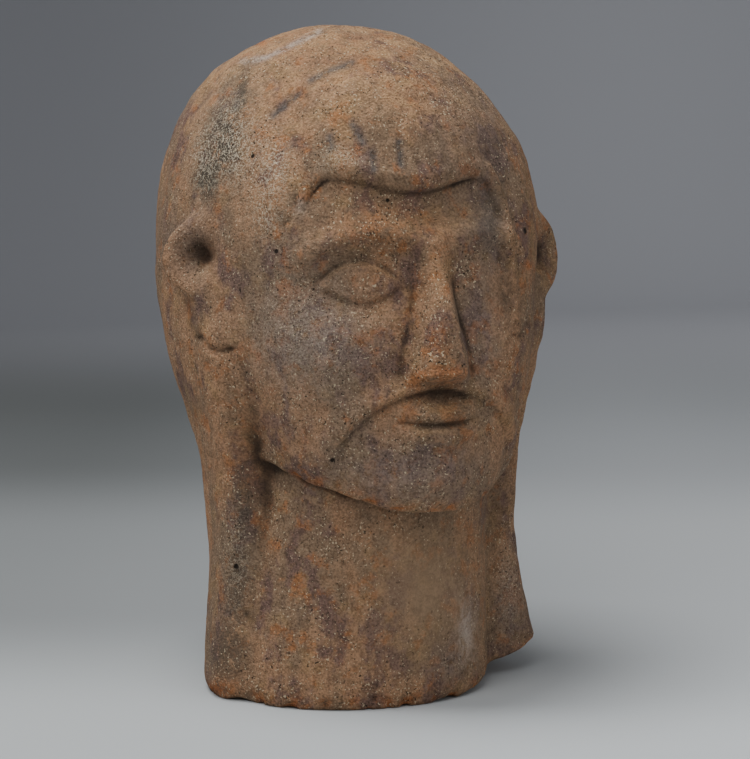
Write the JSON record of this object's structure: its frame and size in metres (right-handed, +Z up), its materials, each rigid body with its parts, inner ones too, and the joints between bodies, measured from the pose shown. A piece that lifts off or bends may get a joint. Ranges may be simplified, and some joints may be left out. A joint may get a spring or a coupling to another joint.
{
  "type": "terracotta votive head",
  "caption": "Fired clay votive head of a worshipper with a smooth cap of hair falling behind a bare neck, hollow and open below, worn and chipped, standing on its cut base.",
  "frame": {"origin": "middle of the overall footprint, on the plane that the base stands on", "axes": "+Z up from the base to the crown, -Y the way the face looks, +X to the right of a viewer who faces it"},
  "size_m": [0.1856, 0.2138, 0.2999],
  "materials": {
    "terracotta": "matte weathered fired clay, brown-grey with orange chips, dark specks and pale grit"
  },
  "bodies": {
    "root": {"votive_head": "terracotta"}
  },
  "joints": []
}
